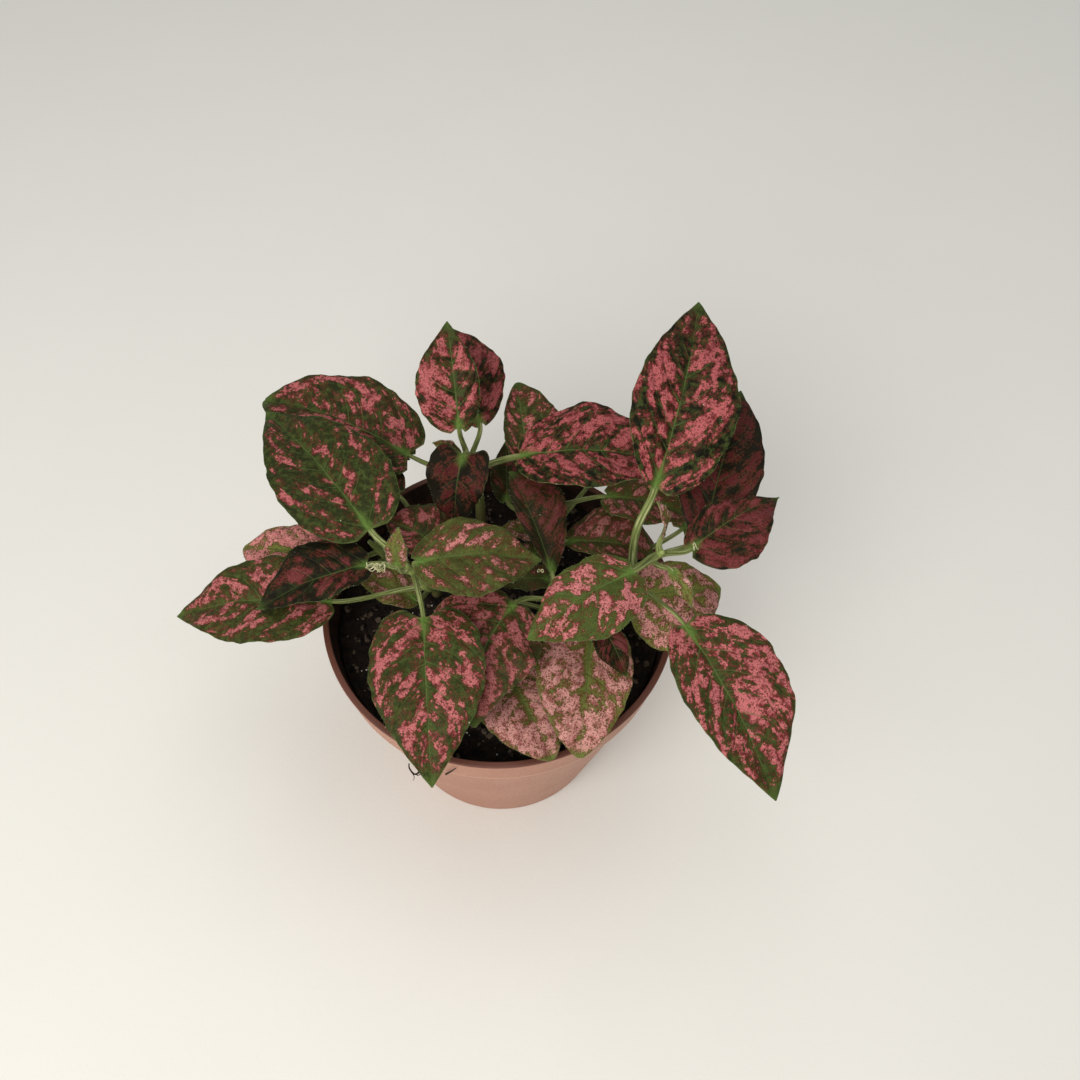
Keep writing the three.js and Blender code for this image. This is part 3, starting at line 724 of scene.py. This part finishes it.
# Leaves
def leaf_from(row, number, seed):
    stem, height, base, tip, (left, right), changes = row
    leaf = SimpleNamespace(**{**PLAIN_LEAF, **changes})
    leaf.foldTip = changes.get("foldTip", leaf.fold)
    leaf.leftFill = changes.get("leftFill", leaf.baseFill)
    leaf.phase = PHASE_STEP * number
    leaf.stem, leaf.height, leaf.left, leaf.right = stem, height, left, right
    leaf.base, leaf.tip = np.array(base, float), np.array(tip, float)
    leaf.length = float(np.linalg.norm(leaf.tip - leaf.base))
    leaf.seed = seed
    leaf.draw = random.Random(seed)
    return leaf


def width_at(u, leaf, right):
    """Half width at u along the right or left half of the blade, as a share of its widest."""
    s = np.maximum(np.sin(np.pi * u ** (math.log(0.5) / math.log(leaf.widest))), 0)
    return np.where(u < leaf.widest, s ** np.where(right, leaf.baseFill, leaf.leftFill), s**leaf.tipFill)


def blade_surface(leaf):
    """Middle surface of a blade as a function of u along it and v across it, from -1 to 1."""
    axis = unit(leaf.tip - leaf.base)
    side = turned(unit(np.cross(axis, (0, 0, 1))), axis, -leaf.roll)
    up = np.cross(side, axis)
    power = math.log(0.5) / math.log(leaf.peak)

    def middle(u):
        u = np.clip(u, 0, 1)[..., None]
        return (leaf.base + axis * leaf.length * u
                + up * leaf.arch * leaf.length * np.sin(np.pi * u**power)
                + side * leaf.bend * leaf.length * np.sin(np.pi * u))

    def surface(u, v, half):
        along = unit(middle(u + 1e-3) - middle(u - 1e-3))
        across = unit(np.cross(along, up))
        out = np.cross(across, along)
        fold = np.radians(leaf.fold + (leaf.foldTip - leaf.fold) * u)
        reach = np.abs(v) * half
        ends = np.minimum(1, np.minimum(4 * u, 4 * (1 - u)))
        ripple = np.sin(2 * np.pi * leaf.waves * u + leaf.phase + np.where(v > 0, 1.7, 0))
        lift = (reach * np.sin(fold) - leaf.curl * half * np.abs(v)**3
                + leaf.wave * np.minimum(1, half / 6) * np.abs(v)**1.6 * ripple * ends)
        lobe = leaf.lobe * v**2 * (1 - u)**4
        return (middle(u) + across * (np.sign(v) * reach * np.cos(fold))[..., None]
                + out * lift[..., None] - along * lobe[..., None])

    return side, middle, surface


def vein_starts(leaf):
    """Places along the midrib where side veins leave it, with three more behind the base."""
    count = 7 if leaf.length > 36 else 6 if leaf.length > 24 else 4
    steps = np.arange(count + 1) / count
    starts = 0.02 + 0.86 * steps**0.93
    starts += np.array([leaf.draw.uniform(-0.016, 0.016) for _ in starts])
    return np.concatenate([[-0.34, -0.2, -0.09], np.sort(starts)])


def vein_phase(u, v, starts):
    """Number of the side vein at a place of the blade, with parts between two veins."""
    meets = u - 0.27 * np.abs(v)**1.25 - 0.07 * np.abs(v)**4
    phase = np.interp(meets, starts, np.arange(len(starts)) - 3.0)
    beyond = (meets - starts[-1]) / (starts[-1] - starts[-2])
    return np.where(meets > starts[-1], len(starts) - 4 + beyond, phase)


def phase_spacing(points, phase):
    """Millimetres from one side vein to the next at each point of the grid."""
    pu, pv = np.gradient(points, axis=0), np.gradient(points, axis=1)
    su, sv = np.gradient(phase, axis=0), np.gradient(phase, axis=1)
    e, f, g = (pu * pu).sum(-1), (pu * pv).sum(-1), (pv * pv).sum(-1)
    steep = (g * su**2 - 2 * f * su * sv + e * sv**2) / np.maximum(e * g - f**2, 1e-9)
    return np.clip(1 / np.sqrt(np.maximum(steep, 1e-6)), 0.5, 14)


def blade_grid(leaf, surface):
    """Upper and lower points of the blade from base to tip, and the values that colour them."""
    w = np.linspace(0, 1, BLADE_STEPS + 2)[1:-1]
    u = (w - 0.1 * np.sin(2 * np.pi * w))[:, None]
    t = np.linspace(-1, 1, 2 * BLADE_HALF_STEPS + 1)[None, :]
    u, t = np.broadcast_arrays(u, t)
    rib = leaf.stalk * PETIOLE_HEAD_RADIUS * (1 - 0.75 * u**0.7)
    phase = [leaf.draw.uniform(0, 6.28) for _ in range(8)]
    sway = (0.013 * np.sin(2 * np.pi * 6.5 * u + phase[0] + 2 * np.sign(t))
            + 0.009 * np.sin(2 * np.pi * 11.7 * u + phase[1] + np.sign(t)))
    half = np.where(t > 0, leaf.right, leaf.left) * width_at(u, leaf, t > 0) * (1 + sway)
    half = np.maximum(half, rib)
    wide = smooth(half - rib, 0, 3)
    v = np.sign(t) * np.abs(t)**1.5 * wide + np.sin(np.pi / 2 * t) * (1 - wide)
    middle = surface(u, v, half)
    x, y = v * half, u * leaf.length - leaf.lobe * v**2 * (1 - u)**4

    left, right = vein_starts(leaf), vein_starts(leaf)
    s = np.where(v > 0, vein_phase(u, v, right), vein_phase(u, v, left))
    spacing = phase_spacing(middle, s)
    du = np.gradient(middle, axis=0)
    dv = np.gradient(middle, axis=1)
    normal = unit(np.cross(dv, du))

    # The blade swells up between its side veins, and is a little uneven
    inland = smooth(np.abs(x), 0.3, 3.5) * (1 - np.abs(v)**4)
    size = min(1.0, (leaf.left + leaf.right) / 26)
    swell = 0.42 * size * np.abs(np.sin(np.pi * s))**0.8 * inland * smooth(s, -0.6, 0.2)
    uneven = sum(a * np.sin(kx * x + ky * y + p) for a, kx, ky, p in (
        (0.16, 0.45, 0.38, phase[2]), (0.12, -0.7, 0.5, phase[3]), (0.07, 1.3, -0.9, phase[4])))
    middle = middle + normal * (swell + uneven * size * smooth(u, 0, 0.15))[..., None]
    normal = unit(np.cross(np.gradient(middle, axis=1), np.gradient(middle, axis=0)))

    body = np.maximum(BLADE_THICKNESS / 2 * np.sqrt(np.maximum(1 - np.abs(v)**6, 0)), 0.09)
    round_rib = np.sqrt(np.maximum(rib**2 - x**2, 0))
    raised = round_rib * smooth(u, 0.14, 0.0)
    upper = middle + normal * ((body**3 + raised**3)**(1 / 3))[..., None]
    lower = middle - normal * ((body**3 + round_rib**3)**(1 / 3))[..., None]

    slope = np.gradient(half, axis=0) / np.maximum(np.gradient(y, axis=0), 0.05)
    margin = half * (1 - np.abs(v)) / np.sqrt(1 + slope**2)
    seeds = np.full_like(x, leaf.seed * 1.7)
    values = {
        "leaf_place": np.stack([x, y, seeds], -1),
        "leaf_face": np.stack([u, np.ones_like(u), v], -1),
        "leaf_vein": np.stack([s, spacing, margin], -1),
    }
    return upper, lower, values


def petiole_line(leaf, middle, joint, out):
    reach = np.linalg.norm(leaf.base - joint)
    way = unit(middle(np.array(0.04)) - leaf.base)
    first = joint + out * 0.3 * reach + np.array((0, 0, leaf.rise * reach))
    second = leaf.base - way * 0.3 * reach
    t = np.linspace(0, 1, PETIOLE_STEPS + 1)[:, None]
    return ((1 - t)**3 * joint + 3 * (1 - t)**2 * t * first
            + 3 * (1 - t) * t**2 * second + t**3 * leaf.base)


def leaf_skin(leaf, look):
    """Points, faces and values of one leaf: round petiole, blade and tip as one closed skin."""
    side, middle, surface = blade_surface(leaf)
    centre, stem_way, radius = stem_at(leaf.stem, leaf.height)
    out = leaf.base - centre
    out = unit(out - stem_way * np.dot(out, stem_way))
    line = petiole_line(leaf, middle, centre + out * (radius + CLEARANCE), out)
    line[0] = centre + out * 0.5 * radius
    sides = carried_sides(line[::-1], side)[::-1]
    way = ways(line)
    way[0] = out

    upper, lower, values = blade_grid(leaf, surface)
    t = np.linspace(-1, 1, upper.shape[1])
    rings = []
    stalk = {key: [] for key in values}
    share = np.linspace(0, 1, PETIOLE_STEPS + 1)
    run = np.concatenate([[0], np.cumsum(np.linalg.norm(np.diff(line, axis=0), axis=1))])
    for i, point in enumerate(line):
        across = unit(sides[i] - way[i] * np.dot(sides[i], way[i]))
        up = np.cross(across, way[i])
        r = PETIOLE_FOOT_RADIUS + (PETIOLE_HEAD_RADIUS - PETIOLE_FOOT_RADIUS) * share[i]
        r = leaf.stalk * r + 0.25 * math.exp(-run[i] / 1.2)
        x = r * np.sin(np.pi / 2 * t)
        z = np.maximum(r * np.cos(np.pi / 2 * t), 0.07)
        groove = 1 - 0.22 * np.exp(-(x / 0.35)**2) * smooth(run[i], 1.5, 4)
        top = point + x[:, None] * across + (z * groove)[:, None] * up
        bottom = point + x[:, None] * across - z[:, None] * up
        rings.append(np.vstack([top, bottom[::-1]]))
        back = np.full_like(t, run[i] - run[-1])
        u = np.minimum(back / leaf.length, 0) - 0.001
        rows = {
            "leaf_place": np.stack([x, back, np.full_like(t, leaf.seed * 1.7)], -1),
            "leaf_face": np.stack([u, np.ones_like(t), t], -1),
            "leaf_vein": np.stack([np.full_like(t, -1), np.ones_like(t) * 3, np.ones_like(t) * 3], -1),
        }
        for key, row in rows.items():
            stalk[key].append(np.vstack([row, row[::-1]]))
    rings += [np.vstack([above, below[::-1]]) for above, below in zip(upper, lower)]
    grids = {}
    for key, grid in values.items():
        lower_grid = grid.copy()
        if key == "leaf_face":
            lower_grid[..., 1] = 0
        whole = np.concatenate([grid, lower_grid[:, ::-1]], axis=1)
        grids[key] = np.vstack([np.vstack(stalk[key]), whole.reshape(-1, 3)])
    points = np.vstack(rings)
    grids["leaf_look"] = np.tile(np.array(look, float), (len(points), 1))
    return points, loft_faces(len(rings), LEAF_RING), grids


def add_leaves(material):
    hairs = []
    for stem in STEMS:
        rows = [row for row in LEAVES if row[0] == stem]
        for i, row in enumerate(rows):
            node = f"leaf_{stem}_{i + 1}"
            number = LEAVES.index(row)
            points, faces, values = leaf_skin(leaf_from(row, number, number + 1), LOOKS[stem][i])
            dress(add_mesh(f"{node}_fine", points, faces, material, values), "leaf_blade", node)
            hairs.append(leaf_hairs(points, number, MARGIN_HAIRS))
    return hairs


def add_stems(material, leaf):
    hairs = []
    for name in STEMS:
        rings = stem_skin(name)
        faces = loft_faces(len(rings), STEM_SIDES)
        node = f"stem_{name}"
        dress(add_mesh(f"{node}_fine", np.vstack(rings), faces, material), "stem_green", node)
        young = [row for row in YOUNG if row[0] == name]
        if young:
            look = YOUNG_LOOKS.get(name, OTHER_YOUNG_LOOK)
            skins = [leaf_skin(leaf_from(row, i, 60 + 7 * i + len(name)), look)
                     for i, row in enumerate(young)]
            hairs += [leaf_hairs(skin[0], 50 + i, YOUNG_HAIRS) for i, skin in enumerate(skins)]
            add_joined(f"young_{name}", skins, leaf, "leaf_blade")
    return hairs


# Pot
def rounded(corners):
    """Outline through corners (radius, height, rounding), each rounded by an arc."""
    outline = []
    for i, (r, z, rounding) in enumerate(corners):
        here = np.array((r, z))
        if rounding == 0:
            outline.append(here)
            continue
        before = unit(np.array(corners[i - 1][:2]) - here)
        after = unit(np.array(corners[i + 1][:2]) - here)
        half = math.acos(np.clip(np.dot(before, after), -1, 1)) / 2
        start, end = here + before * rounding / math.tan(half), here + after * rounding / math.tan(half)
        middle = here + unit(before + after) * rounding / math.sin(half)
        for t in np.linspace(0, 1, 5):
            outline.append(middle + rounding * unit((1 - t) * start + t * end - middle))
    return outline


def turned_skin(outline, sides):
    """Points and faces of an outline that starts and ends on the axis, turned round it."""
    angles = 2 * np.pi * np.arange(sides) / sides
    points = [(0, 0, outline[0][1])]
    for r, z in outline[1:-1]:
        points += [(r * math.cos(a), r * math.sin(a), z) for a in angles]
    points.append((0, 0, outline[-1][1]))
    last = len(points) - 1 - sides
    faces = []
    for k in range(sides):
        after = (k + 1) % sides
        faces.append((0, 1 + after, 1 + k))
        for a in range(1, last, sides):
            faces.append((a + k, a + after, a + sides + after, a + sides + k))
        faces.append((last + k, last + after, last + sides))
    return points, faces


def add_pot(material):
    corners = [
        (0, 0, 0),
        (BASE_RADIUS - 3, 0, 0),
        (BASE_RADIUS - 0.3, 0, 0.9),
        (WALL_TOP, BAND_FOOT - 0.4, 0.25),
        (BAND_RADIUS, BAND_FOOT, 0.25),
        (RIM_RADIUS - 0.75, POT_HEIGHT - 1.7, 0.5),
        (RIM_RADIUS, POT_HEIGHT - 1.1, 0.3),
        (RIM_RADIUS, POT_HEIGHT, 0.4),
        (RIM_RADIUS - RIM_WALL, POT_HEIGHT, 0.35),
        (BAND_RADIUS - RIM_WALL, BAND_FOOT, 0.4),
        (WALL_TOP - WALL, INNER_FOOT, 0.4),
        (BASE_RADIUS - WALL - 0.3, FLOOR, 1.2),
        (BASE_RADIUS - WALL - 4, FLOOR, 0),
        (0, FLOOR, 0),
    ]
    points, faces = turned_skin(rounded(corners), POT_SIDES)
    pot = add_mesh("pot_fine", points, faces, material, sharp=40)
    cutter = bmesh.new()
    for i in range(DRAIN_HOLES):
        angle = 2 * math.pi * (i + 0.5) / DRAIN_HOLES
        place = (DRAIN_CIRCLE * math.cos(angle) * MM, DRAIN_CIRCLE * math.sin(angle) * MM, FLOOR / 2 * MM)
        bmesh.ops.create_cone(cutter, cap_ends=True, segments=48, radius1=DRAIN_RADIUS * MM,
                              radius2=DRAIN_RADIUS * MM, depth=3 * FLOOR * MM,
                              matrix=Matrix.Translation(place))
    mesh = bpy.data.meshes.new("holes")
    cutter.to_mesh(mesh)
    cutter.free()
    holes = add_object("holes", mesh)
    cut = pot.modifiers.new("holes", "BOOLEAN")
    cut.operation = "DIFFERENCE"
    cut.object = holes
    bpy.context.view_layer.update()
    shaped = bpy.data.meshes.new_from_object(pot.evaluated_get(bpy.context.evaluated_depsgraph_get()))
    pot.modifiers.clear()
    pot.data = shaped
    bpy.data.objects.remove(holes)
    place = np.array([v.co for v in shaped.vertices]) / MM
    radius = np.hypot(place[:, 0], place[:, 1])
    inner_radii = (BASE_RADIUS - WALL, WALL_TOP - WALL, BAND_RADIUS - RIM_WALL, RIM_RADIUS - RIM_WALL)
    inner_wall = np.interp(place[:, 2], (FLOOR, INNER_FOOT, BAND_FOOT, POT_HEIGHT), inner_radii)
    inner = (radius < inner_wall + 0.25) & (place[:, 2] > FLOOR - 0.1) & (place[:, 2] < POT_HEIGHT - 0.2)
    set_values(shaped, "pot_place", np.stack([radius, place[:, 2], inner], -1))
    dress(pot, "pot_plastic", "pot")


# Soil
def soil_top(x, y):
    """Height of the soil at a place: the gentle waves of its solid, and finer roughness."""
    lumps = math.sin(0.31 * x + 1) * math.cos(0.27 * y) + 0.6 * math.sin(0.7 * x - 0.5 * y)
    rough = sum(a * noise.noise((x * k, y * k, 7.0)) for a, k in ((0.9, 0.22), (0.6, 0.6), (0.35, 1.5)))
    return SOIL_LEVEL + SOIL_RELIEF * 0.6 * lumps + rough


def add_soil(material):
    shoulder = WALL_TOP - WALL - CLEARANCE
    foot = BASE_RADIUS - WALL - CLEARANCE - 0.4
    bottom = FLOOR + CLEARANCE
    outline = [(0, bottom), (foot - 1, bottom), (foot, bottom + 1), (shoulder, INNER_FOOT)]
    low = 1 + (len(outline) - 1) * SOIL_SIDES
    outline += [(r, SOIL_LEVEL) for r in (shoulder + 0.8) * np.linspace(1, 0, SOIL_RINGS + 1)**0.9]
    points, faces = turned_skin(outline, SOIL_SIDES)
    points[low:] = [(x, y, soil_top(x, y)) for x, y, _ in points[low:]]
    dress(add_mesh("soil_fine", points, faces, material, sharp=180), "potting_soil", "soil")


def lump(draw, centre, size):
    """Points and faces of a small angular lump."""
    made = bmesh.new()
    bmesh.ops.create_icosphere(made, subdivisions=1, radius=1)
    turn = Matrix.Rotation(draw.uniform(0, 6.28), 3, Vector((draw.uniform(-1, 1), draw.uniform(-1, 1), 1)))
    stretch = Vector((draw.uniform(0.7, 1.5), draw.uniform(0.6, 1.1), draw.uniform(0.6, 1.0)))
    points = []
    for vert in made.verts:
        p = turn @ Vector(c * s for c, s in zip(vert.co * draw.uniform(0.75, 1.2), stretch)) * size
        points.append((centre[0] + p.x, centre[1] + p.y, centre[2] + p.z * CRUMB_FLATNESS))
    faces = [tuple(v.index for v in face.verts) for face in made.faces]
    made.free()
    return np.array(points), faces, {}


def scattered(count, sizes, seed):
    draw = random.Random(seed)
    skins = []
    for _ in range(count):
        r, a = CRUMB_CIRCLE * math.sqrt(draw.random()), draw.uniform(0, 6.283)
        x, y = r * math.cos(a), r * math.sin(a)
        size = draw.uniform(*sizes) * draw.uniform(0.5, 1)
        z = soil_top(x, y) + 0.3 * size
        skins.append(lump(draw, (x, y, z), size))
    return skins


def add_crumbs(crumb, grain):
    add_joined("soil_crumbs", scattered(CRUMBS, CRUMB_SIZES, 11), crumb, "potting_soil", 30)
    add_joined("soil_grains", scattered(GRAINS, GRAIN_SIZES, 12), grain, "potting_soil", 30)


# Hairs, each a thin three-sided spike
def spikes(bases, directions, lengths):
    side = unit(np.cross(directions, (0.31, 0.52, 0.79)))
    up = np.cross(side, directions)
    corners = [bases + HAIR_RADIUS * (math.cos(a) * side + math.sin(a) * up)
               for a in (0, 2 * math.pi / 3, 4 * math.pi / 3)]
    points = np.stack([*corners, bases + directions * lengths[:, None]], 1).reshape(-1, 3)
    faces = []
    for a in range(0, len(points), 4):
        faces += [(a, a + 1, a + 3), (a + 1, a + 2, a + 3), (a + 2, a, a + 3), (a, a + 2, a + 1)]
    return points, faces, {}


def leaf_hairs(points, seed, margin):
    """Hairs along both edges of the blade, and round the petiole."""
    draw = np.random.default_rng(seed)
    rings = points.reshape(-1, LEAF_RING, 3)
    edge = draw.choice([0, LEAF_RING // 2 - 1], margin)
    along = draw.integers(PETIOLE_STEPS + 2, len(rings) - 1, margin)
    low = draw.integers(2, PETIOLE_STEPS + 1, STALK_HAIRS)
    i = np.concatenate([along, low])
    k = np.concatenate([edge, draw.integers(0, LEAF_RING, STALK_HAIRS)])
    bases = rings[i, k]
    out = unit(bases - rings[i].mean(1))
    ahead = unit(rings[np.minimum(i + 1, len(rings) - 1)].mean(1) - rings[i - 1].mean(1))
    directions = unit(out + 0.5 * ahead + draw.normal(0, 0.25, out.shape))
    return spikes(bases - 0.05 * out, directions, draw.uniform(*HAIR_LENGTHS, len(i)))


# Threads: dry whitish fibres at some joints, root ends and a bit of stick at the pot's rim
def tube(line, radius):
    """Thin five-sided tube along a line that tapers to its end."""
    sides = carried_sides(line, unit(np.cross(line[1] - line[0], (0.2, 0.5, 0.8))))
    ups = np.cross(sides, ways(line))
    angles = -2 * np.pi * np.arange(5) / 5
    radii = radius * (1 - 0.6 * np.linspace(0, 1, len(line)))
    rings = line[:, None] + radii[:, None, None] * (
        np.cos(angles)[None, :, None] * sides[:, None] + np.sin(angles)[None, :, None] * ups[:, None])
    return rings.reshape(-1, 3), loft_faces(len(line), 5), {}


def knot(draw, middle, reach):
    """Thin fibre coiled on itself about a middle."""
    t = np.linspace(0, 2 * np.pi, 60)
    waves = [draw.uniform(*span) for span in ((1.4, 2.2), (3.2, 4.4), (2.4, 3.4))]
    line = [m + r * np.sin(w * t + draw.uniform(0, 6.28)) for m, r, w in zip(middle, reach, waves)]
    return tube(np.stack(line, 1), FIBRE_RADIUS)


def wander(draw, start, direction, length, radius, curl):
    """Thin tube that wanders and tapers."""
    point, way = np.array(start, float), unit(np.array(direction, float))
    bend = np.array([draw.gauss(0, 1) for _ in range(3)])
    line = [point]
    for _ in range(ROOT_STEPS):
        bend = bend + 0.6 * np.array([draw.gauss(0, 1) for _ in range(3)])
        way = unit(way + curl * bend / ROOT_STEPS)
        point = point + way * length / ROOT_STEPS
        line.append(point)
    return tube(np.array(line), radius)


def add_threads():
    draw = random.Random(31)
    pale = thread_material("dry fibre", linear(176, 174, 122), linear(226, 222, 184))
    brown = thread_material("root", linear(26, 14, 10), linear(66, 44, 30))
    skins = [knot(draw, middle, reach) for middle, reach, count in DRY_BITS for _ in range(count)]
    add_joined("dry_fibres", skins, pale, "leaf_blade")
    skins = [wander(draw, *bit) for bit in ROOT_BITS]
    skins += [tube(catmull_rom(points, 16), radius) for points, radius in LONG_BITS]
    add_joined("root_bits", skins, brown, "potting_soil")


# Studio
def add_camera():
    data = bpy.data.cameras.new("camera")
    data.lens = CAMERA_LENS
    data.sensor_width = CAMERA_SENSOR
    data.clip_start = CAMERA_NEAR
    camera = add_object("camera", data)
    tilt = Matrix.Rotation(math.radians(90 - CAMERA_PITCH), 4, "X")
    roll = Matrix.Rotation(math.radians(CAMERA_ROLL), 4, "Z")
    camera.matrix_world = Matrix.Translation(Vector(CAMERA_PLACE) * MM) @ tilt @ roll
    bpy.context.scene.camera = camera


def add_light(name, place, size, power, colour):
    data = bpy.data.lights.new(name, "AREA")
    data.shape = "DISK"
    data.size = size
    data.energy = power
    data.color = colour
    light = add_object(name, data)
    light.location = place
    light.rotation_euler = (Vector(LIGHT_AIM) - Vector(place)).to_track_quat("-Z", "Y").to_euler()


def add_studio():
    world = bpy.data.worlds.new("world")
    world.use_nodes = True
    background = world.node_tree.nodes["Background"]
    background.inputs[0].default_value = SKY_COLOUR
    background.inputs[1].default_value = SKY_STRENGTH
    bpy.context.scene.world = world
    for light in LIGHTS:
        add_light(*light)
    corners = [(x * FLOOR_REACH, y * FLOOR_REACH, 0) for x, y in ((-1, -1), (1, -1), (1, 1), (-1, 1))]
    add_mesh("floor", corners, [(0, 1, 2, 3)], floor_material())
    bpy.context.scene.view_settings.view_transform = "Standard"


leaf_paint = leaf_material()
add_pot(pot_material())
add_soil(soil_material())
add_crumbs(crumb_material(), grain_material())
hairs = add_stems(stem_material(), leaf_paint) + add_leaves(leaf_paint)
hair_paint = thread_material("hair", linear(150, 158, 122), linear(190, 194, 166))
add_joined("leaf_hairs", hairs, hair_paint, "leaf_blade")
add_threads()
add_camera()
add_studio()
